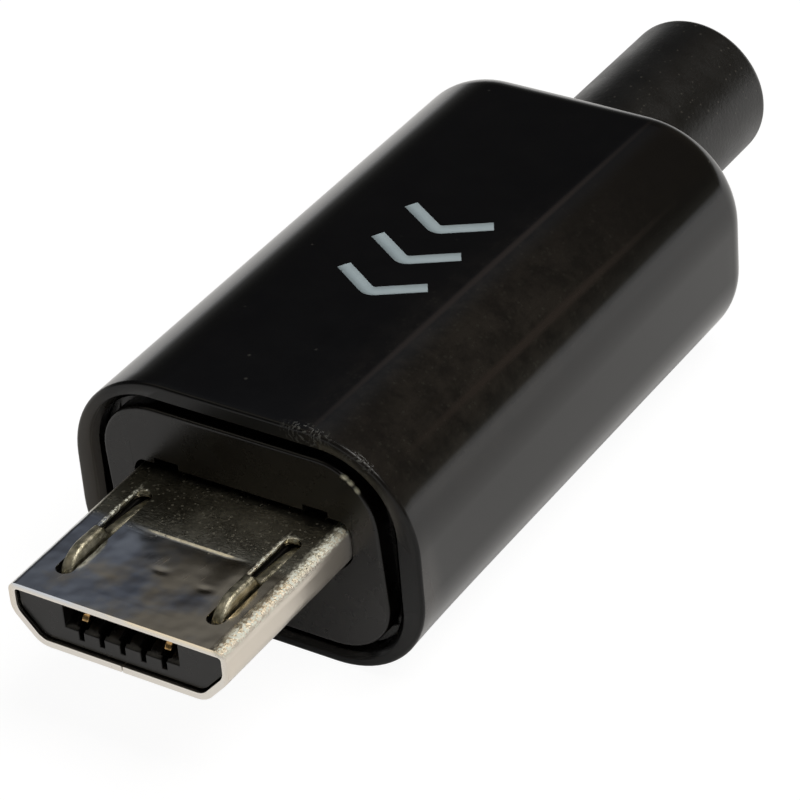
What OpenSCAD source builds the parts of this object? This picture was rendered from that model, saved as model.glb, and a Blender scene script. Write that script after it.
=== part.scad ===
// Small cable plug: a folded metal nose in a moulded housing, with a soft sleeve where the cable leaves.
// Millimetres. The origin is the middle of the housing's flat underside, +Z is up and the nose points to -Y.

/* [Housing] */
// Width of the housing
housing_w = 10.8; // [10.2:0.1:13]
// Height of the housing
housing_h = 7.3; // [7:0.1:9]
// Length of the housing
housing_l = 18.7; // [17:0.1:26]
// Radius of the four long edges
housing_r = 2.8; // [2.2:0.1:3.2]
// Radius of the edge round the rear end
rear_edge_r = 1.2; // [0.4:0.1:1.4]
// Radius of the edge round the front rim
rim_edge_r = 0.25; // [0.1:0.05:0.35]
// Thickness of the two side walls
side_wall = 0.7; // [0.6:0.05:0.9]
// Thickness of the top and bottom walls
top_wall = 0.4; // [0.35:0.05:0.6]
// Thickness of the rear wall
rear_wall = 1.5; // [1.2:0.1:2.5]

/* [Collar] */
// Width of the groove between the rim and the collar's face
groove_w = 0.25; // [0.15:0.05:0.4]
// Depth of that groove
groove_depth = 0.6; // [0.4:0.1:1.2]
// Length of the collar's block, from its face to its rear
collar_l = 4.2; // [3.5:0.1:5]
// Radius of the edge round the collar's face
face_edge_r = 0.1; // [0.05:0.05:0.3]
// Thickness of the two arms behind the collar
arm_t = 0.8; // [0.6:0.05:1]
// Height of the arms
arm_h = 3.4; // [2.4:0.1:3.8]
// Height of the snap ridge on each arm
ridge_h = 0.3; // [0.2:0.05:0.4]
// Length of the snap ridge
ridge_l = 1.4; // [1:0.1:2]
// Reach of the lug on each arm that holds the insulator forward
lug_reach = 0.35; // [0.2:0.05:0.5]

/* [Nose] */
// Height of the plug's centre line above the underside
axis_h = 3.75; // [3.6:0.05:4]
// Length of the nose in front of the rim
nose_l = 5.75; // [5:0.05:7]
// Width of the metal shell
shell_w = 6.85; // [6.7:0.05:7.1]
// Height of the metal shell
shell_h = 1.8; // [1.75:0.05:2]
// Thickness of the folded sheet
sheet_t = 0.2; // [0.16:0.01:0.26]
// Width of the shell's sloping lower corners
slope_w = 0.82; // [0.6:0.02:1]
// Height of the shell's sloping lower corners
slope_h = 0.9; // [0.7:0.05:1]
// Bend radius at the shell's upper corners
upper_bend_r = 0.3; // [0.25:0.05:0.4]
// Bend radius where the shell's sides turn into the slopes
side_bend_r = 0.64; // [0.5:0.02:0.64]
// Bend radius where the slopes turn into the shell's bottom
lower_bend_r = 0.65; // [0.4:0.05:0.7]
// Depth of the panel pressed into the shell's top between the slots
panel_depth = 0.06; // [0.03:0.01:0.1]
// Distance from the nose's front to the step behind that panel
panel_end = 3.5; // [2.5:0.1:4.5]

/* [Latches] */
// Distance between the middles of the two latch springs
latch_spacing = 4.74; // [4.7:0.02:4.9]
// Thickness of a latch spring
latch_t = 0.36; // [0.3:0.02:0.4]
// Height of the latch's arm
latch_arm_h = 0.4; // [0.3:0.02:0.44]
// Gap between the latch's arm and the shell above it
latch_arm_gap = 0.1; // [0.06:0.01:0.14]
// Height that a hook stands above the shell
hook_h = 0.35; // [0.25:0.05:0.45]
// Length of a hook
hook_l = 1.95; // [1.6:0.05:2.3]
// Distance from the nose's front to a hook's front
hook_start = 1.05; // [0.9:0.05:1.4]
// Length of a latch from its hook's front to its pivot
latch_l = 7.1; // [6:0.1:8]
// Radius of the latch's round root
latch_root_r = 0.3; // [0.24:0.02:0.32]
// Width of the shell's slots
slot_w = 0.54; // [0.5:0.02:0.6]
// Length of the shell's slots
slot_l = 3.98; // [3:0.02:4.4]

/* [Contacts] */
// Distance between neighbouring contacts
pitch = 0.65; // [0.6:0.01:0.68]
// Width of a contact
contact_w = 0.2; // [0.18:0.02:0.28]
// Thickness of a contact
contact_t = 0.15; // [0.12:0.01:0.18]
// Distance from the nose's front to the tips of the outer contacts
tip_start = 0.3; // [0.28:0.02:0.6]
// Distance that the inner contacts' tips stand back from the outer ones
tip_stagger = 0.35; // [0.2:0.05:0.6]
// Outer radius of a contact's bump
bump_r = 0.36; // [0.3:0.02:0.38]
// Height of a contact's bump above the cavity's floor
bump_rise = 0.25; // [0.15:0.01:0.28]
// Depth of the contacts' straight run below the centre line
strip_depth = 0.15; // [0.1:0.01:0.18]
// Radius of a contact's round root
contact_root_r = 0.2; // [0.16:0.02:0.22]
// Width of a contact's solder tail
tail_w = 0.5; // [0.4:0.02:0.6]

/* [Insulator] */
// Distance that the insulator's front stands back from the shell's
insulator_recess = 0.12; // [0.05:0.01:0.25]
// Width of the cavity for the mating tongue
cavity_w = 3.6; // [3.5:0.02:3.8]
// Depth of that cavity
cavity_l = 4.6; // [4:0.1:5.2]
// Height of the cavity's floor above the centre line
cavity_floor = 0.05; // [0:0.01:0.1]
// Fall of the slope that leads into the cavity
lead_in_h = 0.19; // [0.1:0.01:0.22]
// Length of that slope
lead_in_l = 0.3; // [0.2:0.02:0.4]
// Width of the narrow slits through the insulator's front
slit_w = 0.16; // [0.12:0.01:0.18]
// Depth of those slits below the slope's front edge
slit_depth = 0.27; // [0.15:0.01:0.3]
// Length of the insulator's rear block
block_l = 1.6; // [1.5:0.1:2]
// Height of the insulator's rear block
block_h = 2.6; // [2.4:0.1:3]
// Length of the solder shelf
shelf_l = 1.8; // [1.4:0.1:2.4]
// Thickness of the solder shelf
shelf_t = 0.6; // [0.5:0.05:0.7]

/* [Sleeve] */
// Outer diameter of the sleeve
sleeve_d = 4.75; // [4.4:0.05:5]
// Length of the sleeve behind the housing
sleeve_l = 6.8; // [5:0.1:12]
// Diameter of the bore for the cable
cable_bore_d = 3.2; // [2.6:0.1:3.6]
// Radius of the sleeve's end edges
sleeve_edge_r = 0.25; // [0.1:0.05:0.4]
// Thickness of the flange behind the rear wall
flange_t = 1.4; // [1:0.1:2]
// Gap between the flange's edge and the housing's bore
flange_gap = 0.5; // [0.1:0.05:0.7]

/* [Fits] */
// Clearance between pieces that seat against each other
fit = 0.05; // [0.03:0.01:0.06]
// Clearance round the springs, which move
spring_clearance = 0.06; // [0.04:0.01:0.07]
// Width of the closed seam under the shell
seam_w = 0.03; // [0.02:0.01:0.08]

/* [Hidden] */
PIN_COUNT = 5;
$fn = 64;
// Overrun that carries a cut clean through a face
overrun = 1;

// Planes along the plug, from the nose to the sleeve's end
housing_front = -housing_l / 2;
housing_rear = housing_l / 2;
nose_front = housing_front - nose_l;
collar_rear = housing_front + collar_l;
ear_front = collar_rear + fit;
shell_rear = ear_front + sheet_t;
block_front = shell_rear + fit;
block_rear = block_front + block_l;
shelf_rear = block_rear + shelf_l;
lug_front = block_rear + fit;
bore_rear = housing_rear - rear_wall;
flange_rear = bore_rear - fit;
flange_front = flange_rear - flange_t;
arm_rear = flange_front - fit;
sleeve_rear = housing_rear + sleeve_l;

// Housing bore, and the collar that fills it
mid_h = housing_h / 2;
bore_w = housing_w - 2 * side_wall;
bore_h = housing_h - 2 * top_wall;
bore_r = housing_r - side_wall;
collar_w = bore_w - 2 * fit;
collar_h = bore_h - 2 * fit;
collar_r = bore_r - fit;
face_w = bore_w - 2 * groove_w;
face_h = bore_h - 2 * groove_w;
face_r = bore_r - groove_w;
arm_inner = collar_w / 2 - arm_t;
ear_tip = arm_inner - fit;
flange_w = bore_w - 2 * flange_gap;
flange_h = bore_h - 2 * flange_gap;
flange_r = bore_r - flange_gap;
notch_w = slot_w + 4 * spring_clearance;
lug_l = 0.6;
// The ridge sits a third of the arm's free length from the arm's end
ridge_front = arm_rear - (arm_rear - lug_front) / 3 - ridge_l;
ridge_w = 1.8;

// Shell outline, counter-clockwise from the lower left, with a bend radius for each corner
shell_points = [
    [slope_w - shell_w / 2, -shell_h / 2],
    [shell_w / 2 - slope_w, -shell_h / 2],
    [shell_w / 2, slope_h - shell_h / 2],
    [shell_w / 2, shell_h / 2],
    [-shell_w / 2, shell_h / 2],
    [-shell_w / 2, slope_h - shell_h / 2]
];
shell_radii = [lower_bend_r, lower_bend_r, side_bend_r, upper_bend_r, upper_bend_r, side_bend_r];
smallest_bend_r = 0.02;
shell_top = shell_h / 2;
shell_ceiling = shell_top - sheet_t;
slot_front = hook_start - 3 * spring_clearance;
panel_front = 0.6;
panel_step = 0.08;
seam_key = [0.6, 1.2];
seam_key_start = 2.2;
seam_key_flare = 0.2;

// Latch heights above the centre line, and the travel that brings a hook level with the shell
arm_top = shell_ceiling - latch_arm_gap;
arm_bottom = arm_top - latch_arm_h;
latch_root_z = arm_top - latch_root_r;
hook_top = shell_top + hook_h;
latch_pivot = hook_start + latch_l;
// The hook's crest, as shares of its length: where the round front ends and where the rear face starts
hook_crest = [0.46, 0.85];
crest_fall = 0.03;
hook_front_l = hook_crest[0] * hook_l;
hook_front_h = hook_top - shell_ceiling - sheet_t / 4;
hook_front_r = (hook_front_l * hook_front_l + hook_front_h * hook_front_h) / (2 * hook_front_h);
// Behind the hook the arm's top falls from just under the shell's top to its own height
arm_crest = shell_top - 0.08;
arm_crest_end = slot_front + slot_l - slot_w / 2;
latch_drop = hook_h * latch_l / (latch_l - hook_crest[1] * hook_l);
channel_floor = arm_bottom - latch_drop - spring_clearance;
channel_w = latch_t + 2 * spring_clearance;

// Contact heights above the centre line, and places along it from the nose's front
bump_z = cavity_floor + bump_rise - bump_r;
strip_z = -strip_depth;
root_setback = 0.35;
contact_pivot = block_front - nose_front + root_setback;
tail_turn = contact_pivot + root_setback;
tail_bend = 0.4;
tail_start = block_rear - nose_front + fit;
tail_setback = 0.1;
tail_end = shelf_rear - nose_front - tail_setback;
shelf_z = strip_z;
upper_tail_z = shelf_z + shelf_t / 2 + spring_clearance + contact_t / 2;
lower_tail_z = shelf_z - shelf_t / 2 - 2.5 * spring_clearance - contact_t / 2;
contact_slot_w = contact_w + 2 * spring_clearance;
contact_slot_front = tip_start - spring_clearance;
contact_slot_floor = strip_z - contact_t / 2 - 4 * spring_clearance;
lead_in_z = cavity_floor - lead_in_h;
slit_floor = lead_in_z - slit_depth;
shelf_margin = 0.5;
shelf_w = (PIN_COUNT - 1) * pitch + tail_w + 2 * shelf_margin;

function unit(v) = v / norm(v);
function left_of(v) = [-v[1], v[0]];
function edge(points, i) = let (n = len(points)) unit(points[(i + 1) % n] - points[(i + n) % n]);
// Corner i moved inwards until it lies the distance d from both its edges
function pushed(points, i, d) = let (
    a = left_of(edge(points, i - 1)),
    b = left_of(edge(points, i))
) points[i] + (a + b) * d / (1 + a * b);
function inset(points, d) = [for (i = [0 : len(points) - 1]) pushed(points, i, d)];
function inset_radii(radii, d) = [for (r = radii) max(r - d, smallest_bend_r)];
// Length of edge that a corner of radius r takes up
function setback(points, i, r) = let (
    turn = edge(points, i - 1) * edge(points, i)
) r * sqrt((1 - turn) / (1 + turn));
function corner_ends(points, i, r) = let (
    back = setback(points, i, r)
) r > 0 ? [points[i] - edge(points, i - 1) * back, points[i] + edge(points, i) * back] : [points[i]];
function rectangle(w, h) = [[-w / 2, -h / 2], [w / 2, -h / 2], [w / 2, h / 2], [-w / 2, h / 2]];
function equal(value, count) = [for (i = [1 : count]) value];
// One side of a strip that follows a path, at a distance from it
function beside(path, d) = [
    for (i = [0 : len(path) - 1]) let (
        a = left_of(unit(path[max(i, 1)] - path[max(i, 1) - 1])),
        b = left_of(unit(path[min(i + 1, len(path) - 1)] - path[min(i, len(path) - 2)]))
    ) path[i] + (a + b) * d / (1 + a * b)
];
function strip(path, t) = let (
    upper = beside(path, t / 2),
    lower = beside(path, -t / 2)
) concat(lower, [for (i = [len(path) - 1 : -1 : 0]) upper[i]]);

// Outline with counter-clockwise corners, each rounded to its own radius
module rounded(points, radii) {
    polygon([for (i = [0 : len(points) - 1]) for (p = corner_ends(points, i, radii[i])) p]);
    for (i = [0 : len(points) - 1])
        if (radii[i] > 0)
            translate(pushed(points, i, radii[i])) circle(radii[i]);
}

// Front-view outline extruded along the plug
module along_plug(front, rear) {
    translate([0, rear, 0]) rotate([90, 0, 0]) linear_extrude(rear - front) children();
}

// Side-view outline, in distance along the plug and height, extruded across it
module across_plug(width, x = 0) {
    translate([x, 0, 0]) rotate([90, 0, 90]) linear_extrude(width, center = true) children();
}

// The nose's own place: distances from its front and heights from its centre line
module in_nose() {
    translate([0, nose_front, axis_h]) children();
}

// Bar along the plug with a rounded section and a rounded edge at each end
module soft_bar(w, h, r, front, rear, front_r, rear_r) {
    corner_x = w / 2 - r;
    corner_z = h / 2 - r;
    middle = (front + rear) / 2;
    across_plug(2 * corner_x) translate([middle, 0])
        rounded(rectangle(rear - front, h), [front_r, rear_r, rear_r, front_r]);
    linear_extrude(2 * corner_z, center = true) translate([0, middle])
        rounded(rectangle(w, rear - front), [front_r, front_r, rear_r, rear_r]);
    for (turn = [0 : 90 : 270]) {
        side_x = turn == 0 || turn == 270 ? corner_x : -corner_x;
        side_z = turn < 180 ? -corner_z : corner_z;
        translate([side_x, 0, side_z]) rotate([-90, turn, 0]) rotate_extrude(angle = 90)
            rounded([[0, front], [r, front], [r, rear], [0, rear]], [0, front_r, rear_r, 0]);
    }
}

module outer_housing() {
    color("#121212") difference() {
        translate([0, 0, mid_h])
            soft_bar(housing_w, housing_h, housing_r, housing_front, housing_rear, rim_edge_r, rear_edge_r);
        along_plug(housing_front - overrun, bore_rear)
            translate([0, mid_h]) rounded(rectangle(bore_w, bore_h), equal(bore_r, 4));
        translate([0, bore_rear - overrun, axis_h]) rotate([-90, 0, 0])
            cylinder(r = sleeve_d / 2 + fit, h = rear_wall + 2 * overrun);
        for (side = [-1, 1])
            translate([side * (bore_w / 2 + ridge_h / 2 - overrun / 2), ridge_front + ridge_l / 2, mid_h])
                cube([ridge_h + overrun, ridge_l + 2 * fit, ridge_w + 2 * fit], center = true);
    }
}

module front_collar() {
    color("#1c1b1b") {
        difference() {
            union() {
                translate([0, 0, mid_h])
                    soft_bar(face_w, face_h, face_r, housing_front, collar_rear, face_edge_r, 0);
                along_plug(housing_front + groove_depth, collar_rear)
                    translate([0, mid_h]) rounded(rectangle(collar_w, collar_h), equal(collar_r, 4));
            }
            along_plug(housing_front - overrun, collar_rear + overrun)
                translate([0, axis_h]) collar_window();
        }
        for (side = [-1, 1]) collar_arm(side);
    }
}

// Opening round the shell, with a notch above it for each hook to pass
module collar_window() {
    rounded(inset(shell_points, -fit), inset_radii(shell_radii, -fit));
    for (side = [-1, 1])
        translate([side * latch_spacing / 2 - notch_w / 2, 0])
            square([notch_w, hook_top + fit]);
}

// Arm beside the wire chamber, with a snap ridge outside and a lug inside
module collar_arm(side) {
    intersection() {
        along_plug(collar_rear, arm_rear)
            translate([0, mid_h]) rounded(rectangle(collar_w, collar_h), equal(collar_r, 4));
        translate([side * (arm_inner + arm_t), (collar_rear + arm_rear) / 2, mid_h])
            cube([2 * arm_t, arm_rear - collar_rear + overrun, arm_h], center = true);
    }
    translate([0, 0, mid_h]) mirror([side < 0 ? 1 : 0, 0, 0]) {
        linear_extrude(ridge_w, center = true) polygon([
            [arm_inner + arm_t / 2, ridge_front],
            [collar_w / 2 + ridge_h, ridge_front],
            [collar_w / 2 + ridge_h, ridge_front + ridge_l / 3],
            [collar_w / 2, ridge_front + ridge_l],
            [arm_inner + arm_t / 2, ridge_front + ridge_l]
        ]);
        linear_extrude(arm_h, center = true) polygon([
            [arm_inner + arm_t / 2, lug_front],
            [arm_inner - lug_reach, lug_front],
            [arm_inner - lug_reach, lug_front + lug_l / 3],
            [arm_inner, lug_front + lug_l],
            [arm_inner + arm_t / 2, lug_front + lug_l]
        ]);
    }
}

module strain_relief() {
    color("#1f1f1f") difference() {
        union() {
            translate([0, 0, axis_h]) rotate([-90, 0, 0]) rotate_extrude() rounded([
                [0, flange_front],
                [sleeve_d / 2, flange_front],
                [sleeve_d / 2, sleeve_rear],
                [0, sleeve_rear]
            ], [0, 0, sleeve_edge_r, 0]);
            along_plug(flange_front, flange_rear)
                translate([0, mid_h]) rounded(rectangle(flange_w, flange_h), equal(flange_r, 4));
        }
        translate([0, flange_front - overrun, axis_h]) rotate([-90, 0, 0])
            cylinder(d = cable_bore_d, h = sleeve_rear - flange_front + 2 * overrun);
    }
}

module metal_shell() {
    color("#9a9a98") {
        difference() {
            along_plug(nose_front, shell_rear)
                translate([0, axis_h]) rounded(shell_points, shell_radii);
            along_plug(nose_front - overrun, shell_rear + overrun)
                translate([0, axis_h])
                    rounded(inset(shell_points, sheet_t), inset_radii(shell_radii, sheet_t));
            in_nose() for (side = [-1, 1]) latch_slot(side);
            in_nose() pressed_panel();
            in_nose() folded_seam();
        }
        for (side = [-1, 1]) rear_ear(side);
    }
}

// Round-ended slot in the shell's top
module latch_slot(side) {
    end_r = slot_w / 2;
    translate([side * latch_spacing / 2, slot_front, shell_ceiling - sheet_t]) linear_extrude(3 * sheet_t) {
        for (end = [end_r, slot_l - end_r]) translate([0, end]) circle(end_r);
        translate([-end_r, end_r]) square([slot_w, slot_l - slot_w]);
    }
}

// Shallow wedge pressed into the shell's top, deepest at the step behind it
module pressed_panel() {
    across_plug(latch_spacing - 2 * slot_w) polygon([
        [panel_front, shell_top],
        [panel_end - panel_step, shell_top - panel_depth],
        [panel_end, shell_top],
        [panel_end, shell_top + overrun],
        [panel_front, shell_top + overrun]
    ]);
}

// Closed seam along the shell's underside, locked by one flared key
module folded_seam() {
    translate([0, 0, -shell_top - sheet_t]) linear_extrude(3 * sheet_t) polygon(strip([
        [0, -overrun],
        [0, seam_key_start],
        [seam_key[0], seam_key_start - seam_key_flare],
        [seam_key[0], seam_key_start + seam_key[1] + seam_key_flare],
        [0, seam_key_start + seam_key[1]],
        [0, shell_rear - nose_front + overrun]
    ], seam_w));
}

// Ear bent out of the shell's side, held between the collar and the insulator's block
module rear_ear(side) {
    ear_h = shell_h - slope_h - upper_bend_r;
    ear_root = shell_w / 2 - sheet_t;
    ear_z = axis_h + shell_top - upper_bend_r - ear_h / 2;
    translate([side * (ear_root + ear_tip) / 2, shell_rear - sheet_t / 2, ear_z])
        cube([ear_tip - ear_root, sheet_t, ear_h], center = true);
}

module insulator() {
    color("#3a3a3a") difference() {
        union() {
            along_plug(nose_front + insulator_recess, block_front + fit) translate([0, axis_h])
                rounded(inset(shell_points, sheet_t + fit), inset_radii(shell_radii, sheet_t + fit));
            translate([0, (block_front + block_rear) / 2, axis_h])
                cube([2 * ear_tip, block_l, block_h], center = true);
            translate([0, (block_front + shelf_rear) / 2, axis_h + shelf_z])
                cube([shelf_w, shelf_rear - block_front, shelf_t], center = true);
        }
        in_nose() translate([-cavity_w / 2, -overrun, cavity_floor])
            cube([cavity_w, cavity_l + overrun, shell_top]);
        in_nose() cavity_lead_in();
        in_nose() for (side = [-1, 1]) latch_channel(side);
        in_nose() for (pin = [1 : PIN_COUNT]) contact_slot(pin);
    }
}

// Slope from the insulator's front up to the cavity's floor
module cavity_lead_in() {
    slope = lead_in_h / lead_in_l;
    across_plug(cavity_w) polygon([
        [insulator_recess - overrun, lead_in_z - slope * overrun],
        [insulator_recess + lead_in_l, cavity_floor],
        [insulator_recess + lead_in_l, shell_top],
        [insulator_recess - overrun, shell_top]
    ]);
}

// Channel that a latch sinks into, with a round seat for its root
module latch_channel(side) {
    across_plug(channel_w, side * latch_spacing / 2) {
        translate([slot_front, channel_floor])
            square([latch_pivot - slot_front, shell_top - channel_floor]);
        translate([latch_pivot, latch_root_z]) circle(latch_root_r + spring_clearance);
        translate([latch_pivot, latch_root_z])
            square([latch_root_r + spring_clearance, shell_top - latch_root_z]);
    }
}

// Slot that a contact bends in, with a slit through the front lip, a round seat and a way out for the tail
module contact_slot(pin) {
    x = contact_x(pin);
    across_plug(slit_w, x) translate([-overrun, slit_floor])
        square([contact_slot_front + 2 * overrun, shell_top - slit_floor]);
    across_plug(contact_slot_w, x) {
        translate([contact_slot_front, contact_slot_floor])
            square([cavity_l - contact_slot_front, shell_top - contact_slot_floor]);
        translate([cavity_l - overrun, contact_slot_floor])
            square([contact_pivot - cavity_l + overrun, 2 * (strip_z - contact_slot_floor)]);
        translate([contact_pivot, strip_z]) circle(contact_root_r + spring_clearance);
        tail_way(pin);
    }
}

// Way through the rear block that follows a contact's tail with room to swing
module tail_way(pin) {
    room = contact_t + 5 * spring_clearance;
    polygon(strip([
        [contact_pivot, strip_z],
        [tail_turn, strip_z],
        [tail_turn + tail_bend, tail_z(pin)],
        [tail_start, tail_z(pin)]
    ], room));
}

function contact_x(pin) = (pin - (PIN_COUNT + 1) / 2) * pitch;
function tail_z(pin) = pin % 2 == 1 ? upper_tail_z : lower_tail_z;
function tip_y(pin) = pin == 1 || pin == PIN_COUNT ? tip_start : tip_start + tip_stagger;

// Centre line of a contact's strip: round the bump, down to the root and out to the solder shelf
function contact_path(pin) = let (
    r = bump_r - contact_t / 2,
    middle = [tip_y(pin) + bump_r, bump_z],
    bump_end = middle + r * [cos(60), sin(60)]
) concat(
    [for (a = [180 : -15 : 60]) middle + r * [cos(a), sin(a)]],
    [
        [bump_end[0] + (bump_end[1] - strip_z) * tan(60), strip_z],
        [tail_turn, strip_z],
        [tail_turn + tail_bend, tail_z(pin)],
        [tail_end, tail_z(pin)]
    ]
);

module contact(pin) {
    color("#c9a04a") in_nose() {
        across_plug(contact_w, contact_x(pin)) {
            polygon(strip(contact_path(pin), contact_t));
            translate([contact_pivot, strip_z]) circle(contact_root_r);
        }
        across_plug(tail_w, contact_x(pin))
            translate([tail_start, tail_z(pin) - contact_t / 2])
                square([tail_end - tail_start, contact_t]);
    }
}

// Flat spring with a round-fronted hook and a round root
module latch(side) {
    hook_end = hook_start + hook_l;
    crest_start = hook_start + hook_front_l;
    crest_r = 0.25;
    color("#a8a48c") in_nose() across_plug(latch_t, side * latch_spacing / 2) {
        rounded([
            [crest_start, arm_bottom],
            [latch_pivot, arm_bottom],
            [latch_pivot, arm_top],
            [arm_crest_end, arm_top],
            [hook_end, arm_crest],
            [hook_start + (1 + hook_crest[1]) / 2 * hook_l, shell_top],
            [hook_start + hook_crest[1] * hook_l, hook_top - crest_fall],
            [crest_start, hook_top]
        ], [0, 0, 0, 0, 0, 0, crest_r, 0]);
        intersection() {
            translate([crest_start, hook_top - hook_front_r]) circle(hook_front_r);
            translate([hook_start, arm_bottom]) square([hook_front_l, hook_top - arm_bottom]);
        }
        translate([latch_pivot, latch_root_z]) circle(latch_root_r);
    }
}

module latch_left() { latch(-1); }
module latch_right() { latch(1); }

outer_housing();
front_collar();
strain_relief();
metal_shell();
insulator();
for (pin = [1 : PIN_COUNT]) contact(pin);
latch_left();
latch_right();
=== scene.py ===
import math

import bmesh
import bpy
from mathutils import Matrix, Vector


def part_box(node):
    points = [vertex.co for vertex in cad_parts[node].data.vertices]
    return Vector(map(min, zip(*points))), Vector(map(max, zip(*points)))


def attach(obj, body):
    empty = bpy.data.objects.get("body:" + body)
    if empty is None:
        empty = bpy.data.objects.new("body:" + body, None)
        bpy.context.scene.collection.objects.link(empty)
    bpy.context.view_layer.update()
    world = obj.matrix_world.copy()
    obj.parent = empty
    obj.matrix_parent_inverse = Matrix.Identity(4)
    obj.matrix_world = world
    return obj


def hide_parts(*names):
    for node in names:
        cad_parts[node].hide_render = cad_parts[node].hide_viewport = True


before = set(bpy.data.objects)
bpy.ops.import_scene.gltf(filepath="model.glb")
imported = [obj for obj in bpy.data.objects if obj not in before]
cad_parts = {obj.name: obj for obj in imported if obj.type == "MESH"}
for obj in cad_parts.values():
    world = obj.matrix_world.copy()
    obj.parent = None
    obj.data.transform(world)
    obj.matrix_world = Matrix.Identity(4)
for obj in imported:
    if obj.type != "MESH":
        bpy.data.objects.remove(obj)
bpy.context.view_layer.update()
mm = 0.001  # sizes are written in millimetres, the frame is in metres


# Helpers for node trees, for materials and shapes. A source is a node, or a node with one of its outputs.

socketTypes = {float: "NodeSocketFloat", int: "NodeSocketInt", tuple: "NodeSocketVector",
               type(None): "NodeSocketGeometry"}


def isSource(value):
    first = value[0] if isinstance(value, tuple) else value
    return isinstance(first, bpy.types.Node)


def setInputs(tree, node, values):
    for socket, value in values.items():
        if isSource(value):
            source, output = value if isinstance(value, tuple) else (value, 0)
            tree.links.new(source.outputs[output], node.inputs[socket])
        else:
            node.inputs[socket].default_value = value


def addNode(tree, kind, values=None, **settings):
    node = tree.nodes.new(kind)
    for name, value in settings.items():
        setattr(node, name, value)
    setInputs(tree, node, values or {})
    return node


def mathNode(tree, operation, *inputs, clamp=False):
    return addNode(tree, "ShaderNodeMath", dict(enumerate(inputs)), operation=operation, use_clamp=clamp)


def vectorNode(tree, operation, *inputs):
    return addNode(tree, "ShaderNodeVectorMath", dict(enumerate(inputs)), operation=operation)


def newGroup(name, kind, inputs, outputs):
    tree = bpy.data.node_groups.new(name, kind)
    for direction, sockets in (("INPUT", inputs), ("OUTPUT", outputs)):
        for label, value in sockets.items():
            kindOf = socketTypes[type(value)]
            socket = tree.interface.new_socket(label, in_out=direction, socket_type=kindOf)
            if value is not None:
                socket.default_value = value
    return tree, addNode(tree, "NodeGroupInput"), addNode(tree, "NodeGroupOutput")


def emptyTree(owner):
    owner.use_nodes = True
    owner.node_tree.nodes.clear()
    return owner.node_tree


# Helpers for meshes, which are drawn in millimetres and scaled once

softEdges = {"merge": 0.0003, "flatAngle": 0.4, "sharpAngle": 33, "segments": 3, "specialSegments": 5,
             "shadingWeight": 80}


def addObject(name, data):
    added = bpy.data.objects.new(name, data)
    bpy.context.scene.collection.objects.link(added)
    return added


def linkPiece(name, mesh, body, slotName, material, *nodes):
    piece = addObject(name, mesh)
    mesh.name = name
    mesh.materials.clear()
    mesh.materials.append(material)
    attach(piece, body)
    if nodes:
        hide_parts(*nodes)
    return piece


def meshFrom(bm, scale=mm):
    for face in bm.faces:
        face.smooth = True
    bmesh.ops.scale(bm, vec=(scale, scale, scale), verts=bm.verts)
    mesh = bpy.data.meshes.new("shape")
    bm.to_mesh(mesh)
    bm.free()
    return mesh


def shadedPiece(name, mesh, *details):
    piece = linkPiece(name, mesh, *details)
    finish = piece.modifiers.new("evenShading", "WEIGHTED_NORMAL")
    finish.keep_sharp = True
    finish.weight = softEdges["shadingWeight"]
    return piece


def softenedCopy(node, edgeRadius, special=None, specialRadius=0.0, skip=None):
    bm = bmesh.new()
    bm.from_mesh(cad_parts[node].data)
    bmesh.ops.scale(bm, vec=(1 / mm, 1 / mm, 1 / mm), verts=bm.verts)
    bmesh.ops.remove_doubles(bm, verts=bm.verts, dist=softEdges["merge"])
    flat, turn = (math.radians(softEdges[name]) for name in ("flatAngle", "sharpAngle"))
    bmesh.ops.dissolve_limit(bm, angle_limit=flat, verts=bm.verts, edges=bm.edges)
    for chosen, radius, segments in ((special, specialRadius, softEdges["specialSegments"]),
                                     (None, edgeRadius, softEdges["segments"])):
        if radius == 0.0:
            continue
        sharp = [edge for edge in bm.edges if edge.is_manifold and edge.calc_face_angle() > turn]
        sharp = [edge for edge in sharp if chosen is None or all(chosen(vert.co) for vert in edge.verts)]
        sharp = [edge for edge in sharp if skip is None or not all(skip(vert.co) for vert in edge.verts)]
        bmesh.ops.bevel(bm, geom=sharp, offset=radius, offset_type="OFFSET", segments=segments,
                        profile=0.5, affect="EDGES", clamp_overlap=True, loop_slide=True)
    return bm


def within(box):
    low, high = box
    return lambda point: all(low[i] <= point[i] <= high[i] for i in range(3))


def quarterTurn(steps):
    return [math.radians(90 * i / steps) for i in range(steps + 1)]


def roundedRing(width, height, radius, y, midHeight, steps):
    ring = []
    for corner, (sideX, sideZ) in enumerate(((1, 1), (-1, 1), (-1, -1), (1, -1))):
        for step in range(steps + 1):
            angle = math.radians(90 * (corner + step / steps))
            x = sideX * (width / 2 - radius) + radius * math.cos(angle)
            z = sideZ * (height / 2 - radius) + radius * math.sin(angle)
            ring.append(Vector((x, y, midHeight + z)))
    return ring


def circleRing(like, radius, y, centreHeight):
    ring = []
    for point in like:
        angle = math.atan2(point.z - centreHeight, point.x)
        ring.append(Vector((radius * math.cos(angle), y, centreHeight + radius * math.sin(angle))))
    return ring


def loftRings(rings, capped=False):
    bm = bmesh.new()
    loops = [[bm.verts.new(point) for point in ring] for ring in rings]
    count = len(loops[0])
    pairs = list(zip(loops, loops[1:]))
    if capped:
        bm.faces.new(loops[0])
        bm.faces.new(loops[-1])
    else:
        pairs.append((loops[-1], loops[0]))
    for here, there in pairs:
        for i in range(count):
            j = (i + 1) % count
            bm.faces.new((here[i], here[j], there[j], there[i]))
    bmesh.ops.recalc_face_normals(bm, faces=bm.faces)
    return bm


# Helpers for shapes that a node tree makes from a few drawn lines

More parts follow.
